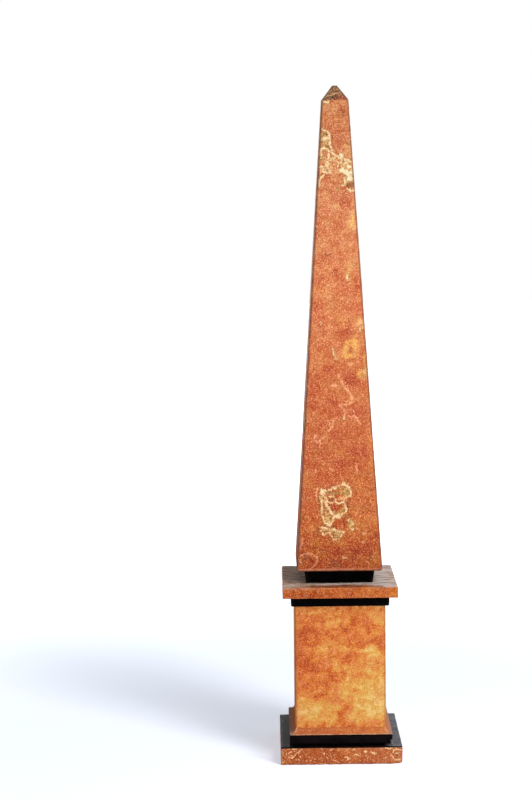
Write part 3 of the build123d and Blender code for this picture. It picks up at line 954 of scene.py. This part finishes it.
def red_marble(name, flecked, red, calm, marked=False, dusted_and_lit=False, rim=0.24, dull=0.0, specular=0.12):
    """Red marble of the mouldings. Flecked is how strongly its cream shell fragments show, red how deep its colour
    is, calm how much it varies, and rim how pale its edges are rubbed. Marked draws the plinth's marks, and a dusted
    one lays dust on what faces up, with painted shade to the left and painted light to the right. Dull is added to
    its roughness, and specular is how brightly it reflects."""
    g, place, wear = new_graph(name)
    across, deep, height = g.parts(place)
    near = g.warped(place, 6, 2.0, 3)
    cloud = g.noise(place, 26, 4, 0.6, 0.5)
    patch = g.noise(near, 8, 4, 0.65)
    # painted light: the stone is darker to the left and lighter to the right, as lit from the right
    light_tilt = 0.03 if marked else 0.08
    tone = g.add(
        0.5 - red, g.swing(cloud, 0.45 * calm), g.swing(patch, 0.6 * calm), g.span(across, -70, 75, -light_tilt, light_tilt))
    g.colour = g.ramp(tone, (
        (0.05, 134, 58, 24), (0.30, 168, 80, 36), (0.50, 188, 98, 46), (0.70, 208, 122, 56), (0.95, 228, 158, 84)))
    g.paint((200, 104, 66), g.patches(near, 13, 3, 0.6, 0.5, 0.64, 0, 0.4 * calm))

    # cream shell sections and flecks
    shells = g.shells(near, place, 6.0, 0.30, 0.10, (0.55, 0.70), 2.4, 0.56)
    spot = g.warped(place, 1.6, 1.0)
    flecks = g.times(
        g.span(g.cells(spot, 2.0), 0.46, 0.20), g.span(g.cell_tone(spot, 2.0), 0.66, 0.76),
        g.patches(place, 12, 3, 0.5, 0.42, 0.60, 0.05, 1.0))
    cream = g.times(g.most(g.times(shells, 0.45), flecks), flecked)
    if marked:
        cream_gap, _, dark_gap = g.parts(g.attribute("gaps"))
        ragged = g.swing(g.noise(place, 1.6, 3, 0.6), 1.2)
        g.paint((96, 60, 30), g.span(g.add(dark_gap, ragged), 0.5, -0.5, 0, 0.6))
        # painted light: the plinth grows pinker and lighter towards its right end
        g.paint((212, 140, 112), g.span(across, 0, 60, 0.06, 0.20))
        cream = g.most(cream, g.span(g.add(cream_gap, ragged), 0.35, -0.30))
    g.paint((250, 212, 154), cream, 0.9)
    if marked:
        # darker along the ground, in broken patches
        ground_darkening = g.times(g.span(height, 2.2, 0.4, 0, 0.75), g.patches(place, 3, 3, 0.5, 0.38, 0.56, 0.35, 1.0))
        g.paint((104, 68, 42), ground_darkening)
    grain = g.grained(place, 1.5, 0.20 * calm, 0.11 * calm)
    pale_edge = g.times(wear, g.patches(place, 2.6, 3, 0.6, 0.40, 0.60, 0.3 * rim, rim))
    g.paint((222, 172, 130), pale_edge)
    rough = g.add(0.40 + dull, g.swing(patch, 0.14), g.times(wear, 0.2))

    if dull:
        # a pale layer over all, thickest on the two flanks, where it is grey, in part dust and in part painted
        # reflection, and darker on the left flank as painted shade
        g.paint((196, 150, 128), 0.12)
        flanks = g.most(g.span(across, -57.4, -59.5), g.span(across, 57.8, 60.5, 0, 0.8))
        flanks = g.times(flanks, g.patches(place, 5, 4, 0.6, 0.30, 0.55, 0.55, 0.95))
        g.paint(g.mix(g.span(across, -20, 20), (166, 134, 114), (184, 148, 136)), flanks)
    if dusted_and_lit:
        # dust, streaked, with painted shade that makes it dark to the left and painted light that makes it thick and
        # pale to the right; it is rubbed off along the front
        up = g.upward()
        swept = g.noise(g.vector("MULTIPLY", near, (0.3, 1.0, 1.0)), 8, 5, 0.7)
        front = g.add(deep, g.swing(g.noise(place, 12, 3), 7))
        dust_and_light_drift = g.add(g.span(across, -60, 60, 0.35, 0.92), g.span(front, -38, -56, 0, 0.26), g.swing(swept, 2.1))
        dust_and_light_film = g.ramp(dust_and_light_drift, (
            (0.05, 94, 80, 75), (0.35, 146, 130, 122), (0.62, 196, 180, 170), (0.95, 236, 224, 216)))
        side = g.add(g.away(across, -6), g.swing(cloud, 30))
        kept = g.most(g.span(front, -60, -51), g.span(side, 40, 58, 0, 0.9))
        dust_and_sheen = g.times(up, kept, g.span(swept, 0.30, 0.56, 0.70, 1.0))
        # painted shade and painted reflection of the shaft: the tops are darkened brown in patches, showing where the
        # dust is rubbed off
        g.paint((96, 56, 36), up, g.span(patch, 0.40, 0.58, 0.75, 0.25))
        g.paint(dust_and_light_film, dust_and_sheen)
        # the slab's pale top edge, to the left
        brow = g.times(
            g.span(height, 217.4, 220.6), g.span(across, -15, -58, 0.10, 0.70), g.patches(place, 6, 4, 0.6, 0.34, 0.56))
        g.paint((196, 156, 124), brow)
        rough = g.add(rough, g.times(dust_and_sheen, 0.25))
    return g.finish(rough, specular, g.add(g.times(grain, 0.6), patch), 0.10)


STEP_CORNER = (63.6, -63.6, 25.5)


def black_marble():
    """Polished black limestone, rubbed brown along its edges, with dust and a painted reflection on what faces up."""
    g = Graph(bpy.data.materials.new("black_marble"))
    place, wear = g.object_mm(), g.attribute("wear", "Fac")
    across, _, height = g.parts(place)
    g.colour = g.ramp(g.noise(place, 18, 4, 0.6), ((0.3, 3, 2, 3), (0.6, 6, 5, 6), (0.8, 14, 11, 11)))
    thread = g.span(g.cells(g.warped(place, 14, 8, 3), 34, "DISTANCE_TO_EDGE"), 0.02, 0.0, 0, 0.06)
    g.paint((70, 62, 58), thread)
    g.paint((74, 50, 38), wear, 0.20)
    # the bruised corner of the step
    bruise = g.span(g.vector("DISTANCE", place, STEP_CORNER, out=1), 3.4, 1.8)
    g.paint((190, 184, 178), bruise, g.patches(place, 2, 2, 0.5, 0.35, 0.5))
    # a haze on the step's face, and dust with a painted reflection at the two ends of the cover, brightest to the right
    haze = g.times(
        g.span(height, 23, 24.5), g.span(height, 34, 32.5), g.patches(place, 12, 3, 0.5, 0.3, 0.6, 0.4, 0.9))
    g.paint((25, 19, 20), haze)
    left = g.times(g.span(across, -56, -66, 0, 0.06), g.span(across, -75, -69, 2.5, 1.0))
    dust_and_light_drift = g.add(g.span(across, 52, 66, 0, 1.75), left)
    dust_and_sheen = g.times(g.upward(), dust_and_light_drift, g.patches(place, 11, 5, 0.7, 0.30, 0.65, 0.16, 0.38))
    g.paint((150, 155, 164), dust_and_sheen)
    rough = g.add(0.20, g.swing(g.noise(place, 9, 4, 0.6), 0.10), g.times(wear, 0.25))
    return g.finish(rough, 0.006, g.noise(place, 5, 4, 0.6), 0.06)


CAP_VEIN_SLOPE = (-0.36, 0.1, 1.0)      # the direction across the veins


def cap_marble():
    """Brown marble of the cap stone, crossed by two pale veins, redder along its foot."""
    g, place, wear = new_graph("cap_marble")
    across, _, height = g.parts(place)
    near = g.warped(place, 6, 2.5, 3)
    patch = g.noise(near, 8, 5, 0.68, 0.6)
    g.colour = g.ramp(g.add(0.5, g.swing(patch, 0.9)), (
        (0.05, 78, 48, 26), (0.30, 116, 74, 44), (0.50, 142, 96, 62), (0.72, 168, 118, 82), (0.95, 202, 160, 118)))
    slope = g.vector("DOT_PRODUCT", near, CAP_VEIN_SLOPE, out=1)
    vein = g.span(g.away(slope, 819.5), 1.3, 0.2, 0, 0.65)
    thin = g.span(g.away(slope, 824.5), 0.8, 0.1, 0, 0.4)
    g.paint((232, 190, 146), g.most(vein, thin))
    foot = g.mix(g.span(across, -3, 7), (98, 68, 34), (166, 74, 44))
    g.paint(foot, g.span(height, 821, 814, 0, 0.75))
    grain = g.grained(place, 1.4, 0.20, 0.10)
    g.paint((200, 156, 116), wear, 0.25)
    # painted shade along the upright arrises
    g.shade_arris(place, (58, 40, 28), 2.6, 0.70)
    return g.finish(g.add(0.42, g.swing(patch, 0.14)), 0.25, g.add(g.times(grain, 0.7), patch), 0.12)


def core_stone():
    """Rough grey-buff stone of the cores, sawn and never polished."""
    g = Graph(bpy.data.materials.new("core_stone"))
    place = g.object_mm()
    patch = g.noise(place, 14, 5, 0.65)
    grain = g.noise(place, 1.6, 3, 0.7)
    saw = g.noise(g.vector("MULTIPLY", place, (0.15, 0.15, 6.0)), 6, 2, 0.5)
    tone = g.add(0.5, g.swing(patch, 0.5), g.swing(grain, 0.4), g.swing(saw, 0.15))
    g.colour = g.ramp(tone, ((0.1, 112, 104, 94), (0.5, 156, 146, 130), (0.9, 196, 186, 168)))
    return g.finish(g.add(0.82, g.swing(grain, 0.1)), 0.3, g.add(patch, grain, saw), 0.35)


# ---------------------------------------------------------------- pieces

ARRIS = 0.8                     # radius of the thicker slabs' arrises
SHAFT_ARRIS = 1.2               # radius of the shaft's and the cap stone's
LEDGE_HOLLOW = 6.2              # radius of the hollow between the ledge's lip and the die
BED_HOLLOW = 1.5                # radius of the hollow above the black band
NECK_FLARE = 2.25               # how much each side of the neck grows upward
SHAFT_FACING = 10.0             # thickness of the shaft's slabs
TIP_HALF = 3.0                  # half the width of the cap stone's tip


def add_plinth(red, black):
    """The red plinth's four slabs, and the thin black cover on them."""
    outer, inner = half("plinth_cover"), half("plinth_core")
    low, high = levels_of("plinth_front")
    form = Form(
        slab_outline(inner, outer, (low, high), (0.8, 0.25), 0.3, 0.7), outer, ARRIS, 0.8,
        wobble=0.35, seed=21, chip_seed=11,
        arrises=(upright_edges(outer, low, high), 7, (1.0, 3.0), (0.3, 0.8)),
        rims=(((outer, low, 1), 16, (1.0, 4.0), (0.3, 0.9)), ((outer, high, -1), 30, (0.8, 2.0), (0.2, 0.5))),
        scoops=(
            ((outer, -outer, low), (-1.2, 1, 1.1), 17, 4.2),
            ((outer - 7, -outer, low), (-0.35, 1, 1.3), 15, 2.0),
            ((outer, -outer, low + 7), (-1.2, 1, 0.35), 11, 1.6),
            ((-outer, -outer, low), (1, 1, 1.1), 6, 1.2),
            ((outer, outer, low), (-1, -1, 1.1), 8, 1.6),
        ))
    facings("plinth_slab", "plinth", form, red, plinth_marks)

    low, high = levels_of("plinth_cover")
    form = Form(
        slab_outline(half("base_step") - 8, outer, (low, high), (0.15, 0.45), 0.3, 1.2), outer, ARRIS, 1.5,
        wobble=0.2, seed=32, chip_seed=31,
        rims=(((outer, high, -1), 30, (0.6, 1.8), (0.15, 0.4)),))
    block("plinth_top", "plinth_cover", form, black)


def add_base(red, black):
    """The black step, and the red ledge that sweeps in to the die."""
    outer, die_half = half("base_step"), half("die_front")
    low, high = levels_of("base_step")
    form = Form(
        slab_outline(outer - 20, outer, (low, high), (0.3, 0.5), 0.3, 1.15), outer, ARRIS, 1.2,
        wobble=0.3, seed=43, chip_seed=41,
        arrises=(upright_edges(outer, low, high), 9, (0.8, 2.2), (0.2, 0.6)),
        rims=(((outer, high, -1), 26, (0.8, 2.4), (0.2, 0.5)),),
        scoops=(((outer, -outer, low + 3), (-1, 1, 0.4), 3.4, 0.9),))
    block("step", "base_step", form, black)

    low, high = levels_of("base_ledge")
    inner, hollow_foot, lip = die_half - 12, die_half + LEDGE_HOLLOW, high - LEDGE_HOLLOW
    outline = hollow_outline(
        ((inner, low, 0), (outer, low, 0.2), (outer, lip, 0.3), (hollow_foot, lip, 0)),
        ((hollow_foot, high), LEDGE_HOLLOW, 270, 180, 14), inner, high, 0.25, 0.9, 0.5, 3.0)
    form = Form(
        outline, outer, 0.3, 1.2, wobble=0.25, seed=52, chip_seed=51,
        rims=(((outer, lip, -1), 22, (0.8, 2.2), (0.2, 0.5)),))
    block("ledge", "base_ledge", form, red)


def add_die(golden, dull_golden, black):
    """The die's four golden slabs, and the black band on them with the small hollow over it."""
    outer, inner = half("die_front"), half("die_core")
    low, high = levels_of("die_front")
    form = Form(
        slab_outline(inner, outer, (low, high), (0.3, 0.3), 0.3, 1.3), outer, ARRIS, 1.5,
        wobble=0.3, seed=63, chip_seed=61, arrises=(upright_edges(outer, low, high), 9, (0.8, 2.6), (0.2, 0.7)))
    facings("die_slab", "die", form, golden, die_marks, dull_golden)

    low, high = levels_of("bed_front")
    bed_half = half("bed_front")
    band_half, band_top = bed_half - BED_HOLLOW, high - BED_HOLLOW
    outline = hollow_outline(
        ((inner, low, 0), (band_half, low, 2.0), (band_half, band_top, 0)),
        ((bed_half, band_top), BED_HOLLOW, 180, 90, 6), inner, high, 0.3, 0.9, 0.4, 2.0)
    form = Form(
        outline, band_half, 0.4, 1.5, wobble=0.25, seed=72, chip_seed=71,
        arrises=(upright_edges(band_half, low + 2, high - 2), 6, (0.8, 1.8), (0.2, 0.5)))
    facings("band", "bed", form, black)


def add_cornice(red, black):
    """The red cornice slab, and the black neck on it."""
    outer, neck_half = half("cornice"), half("neck")
    low, high = levels_of("cornice")
    form = Form(
        slab_outline(30, outer, (low, high), (0.8, 1.3), 0.3, 1.3), outer, ARRIS, 1.4,
        wobble=0.35, seed=84, chip_seed=81,
        arrises=(upright_edges(outer, low, high), 7, (1.0, 2.8), (0.3, 0.8)),
        rims=(((outer, low, 1), 24, (1.0, 3.0), (0.2, 0.7)), ((outer, high, -1), 18, (1.0, 3.2), (0.2, 0.8))))
    block("cornice_slab", "cornice", form, red)

    low, high = levels_of("neck")
    foot_half = neck_half - NECK_FLARE
    form = Form(
        slab_outline(20, (foot_half, neck_half), (low, high), (0.2, 0.2), 0.3, 1.5), foot_half, 0.4, 1.5,
        wobble=0.25, seed=92, chip_seed=91, edge_zone=8,
        arrises=(upright_edges(foot_half, low, high, neck_half), 8, (0.8, 1.6), (0.2, 0.5)))
    block("neck_block", "neck", form, black)


def add_shaft(stone, dull_stone, brown):
    """The shaft's four slabs, and the cap stone."""
    foot_half, top_half = half("shaft_front"), half("pyramidion")
    low, high = levels_of("shaft_front")
    # the front's grid is the closest, because its marks are the finest
    for sides, spacing in ((SIDES[:1], 1.05), (SIDES[1:], 1.35)):
        form = Form(
            slab_outline(
                (foot_half - SHAFT_FACING, top_half - SHAFT_FACING), (foot_half, top_half), (low, high), (2.5, 0.0),
                0.4, spacing),
            foot_half, SHAFT_ARRIS, spacing, wobble=0.45, seed=103, chip_seed=101, fine=0.35, edge_zone=7,
            arrises=(upright_edges(foot_half, low, high, top_half), 13, (0.9, 3.4), (0.25, 0.8)),
            rims=(((foot_half, low, 1), 22, (1.0, 3.0), (0.3, 0.8)),),
            scoops=(
                ((foot_half, -foot_half, low), (-1, 1, 1.1), 14, 4.2),
                ((-foot_half, -foot_half, low), (1, 1, 1.0), 12, 3.0),
            ))
        facings("shaft_slab", "shaft", form, stone, shaft_marks, dull_stone, sides)

    low, high = levels_of("pyramidion")
    form = Form(
        slab_outline((4, 0.5), (top_half, TIP_HALF), (low, high), (0.0, 1.5), 0.3, 0.8), top_half, SHAFT_ARRIS, 1.2,
        wobble=0.35, seed=112, chip_seed=111, edge_zone=6,
        arrises=(upright_edges(top_half, low, high, TIP_HALF), 7, (0.8, 2.2), (0.2, 0.6)),
        scoops=(((TIP_HALF, -TIP_HALF, high), (-1, 1, -1.6), 4.0, 0.9),))
    block("cap_stone", "pyramidion", form, brown)


def fill_cores(stone):
    """The cores keep their CAD solids and only get their stone."""
    for node in ("plinth_core", "die_core", "shaft_core"):
        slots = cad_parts[node].material_slots
        for material_slot in slots:
            material_slot.material = stone
        if not slots:
            raise SystemExit(f"{node} has no material slot")


# ---------------------------------------------------------------- floor, world and lamps

FLOOR_RADIUS, FLOOR_CORNERS = 9.0, 96           # metres


def seen_directly(g):
    """1 for the rays that show a thing itself, as it is or through gloss or glass, and 0 for those that light."""
    rays = g.node("LightPath")
    return g.most(*(rays[f"Is {kind} Ray"] for kind in ("Camera", "Glossy", "Transmission")))


def add_floor():
    """A wide floor that runs out to white. It lights the stone as a grey one, and only seems to glow."""
    angles = np.linspace(0, 2 * math.pi, FLOOR_CORNERS, endpoint=False)
    mesh = bpy.data.meshes.new("floor")
    corners = [(FLOOR_RADIUS * math.cos(a), FLOOR_RADIUS * math.sin(a), 0.0) for a in angles]
    mesh.from_pydata(corners, [], [tuple(range(FLOOR_CORNERS))])
    floor = bpy.data.objects.new("floor", mesh)
    bpy.context.scene.collection.objects.link(floor)

    g = Graph(bpy.data.materials.new("floor"))
    seen = seen_directly(g)
    distance = g.vector("LENGTH", g.node("TexCoord")["Object"], out=1)
    diffuse = g.node("BsdfDiffuse", {"Color": g.mix(seen, (0.70, 0.70, 0.71, 1), (0.94, 1.0, 1.12, 1))})
    strength = g.times(g.span(distance, 0.35, 1.6, 0.38, 1.1), seen)
    glow = g.node("Emission", {"Color": (0.94, 1.0, 1.10, 1), "Strength": strength})
    g.node("OutputMaterial", g.node("AddShader", (diffuse[0], glow[0]))[:1])
    mesh.materials.append(g.owner)


def add_world():
    """White where it is seen, and a dim cool light on everything."""
    world = bpy.data.worlds.new("world")
    bpy.context.scene.world = world
    g = Graph(world)
    lighting = g.node("Background", {"Color": (0.93, 0.96, 1.0, 1), "Strength": 0.27})
    white = g.node("Background", {"Color": (1, 1, 1, 1)})
    g.node("OutputWorld", g.node("MixShader", (seen_directly(g), lighting[0], white[0]))[:1])


# name, place and target in metres, width and height in metres, watts, colour
LAMPS = (
    ("key", (1.45, -1.75, 0.95), (0, 0, 0.4), (0.7, 1.0), 30, (1.0, 0.985, 0.96)),
    ("fill", (-1.2, -2.6, 0.4), (0, 0, 0.3), (1.2, 0.7), 8, (0.94, 0.97, 1.0)),
    ("high", (1.95, -2.35, 4.0), (0, 0, 0.4), (1.6, 1.6), 71, (1.0, 0.99, 0.97)),
    ("back", (-1.0, 3.2, 0.35), (0, 0, 0.4), (2.0, 0.5), 30, (0.97, 0.98, 1.0)),
)


def add_lamp(name, place, target, size, watts, colour):
    """An oblong lamp that faces its target."""
    data = bpy.data.lights.new(name, "AREA")
    data.shape = "RECTANGLE"
    data.size, data.size_y = size
    data.energy, data.color = watts, colour
    lamp = bpy.data.objects.new(name, data)
    lamp.location = place
    lamp.rotation_euler = (Vector(target) - Vector(place)).to_track_quat("-Z", "Y").to_euler()
    bpy.context.scene.collection.objects.link(lamp)


# ---------------------------------------------------------------- the scene

add_camera()
add_world()
add_floor()
for lamp_row in LAMPS:
    add_lamp(*lamp_row)

black_stone = black_marble()
add_plinth(red_marble("plinth_marble", flecked=0.9, red=0.09, calm=0.65, marked=True), black_stone)
add_base(
    red_marble("ledge_marble", flecked=0.10, red=-0.06, calm=0.5, rim=1.4, dull=DULL, specular=0.0), black_stone)
add_die(die_marble("die_marble"), die_marble("die_marble_dull", DULL), black_stone)
add_cornice(red_marble("cornice_marble", flecked=0.22, red=0.0, calm=0.75, dusted_and_lit=True, specular=0.05), black_stone)
add_shaft(shaft_marble("shaft_marble"), shaft_marble("shaft_marble_dull", DULL), cap_marble())
fill_cores(core_stone())

bpy.context.scene.view_settings.view_transform = "Standard"
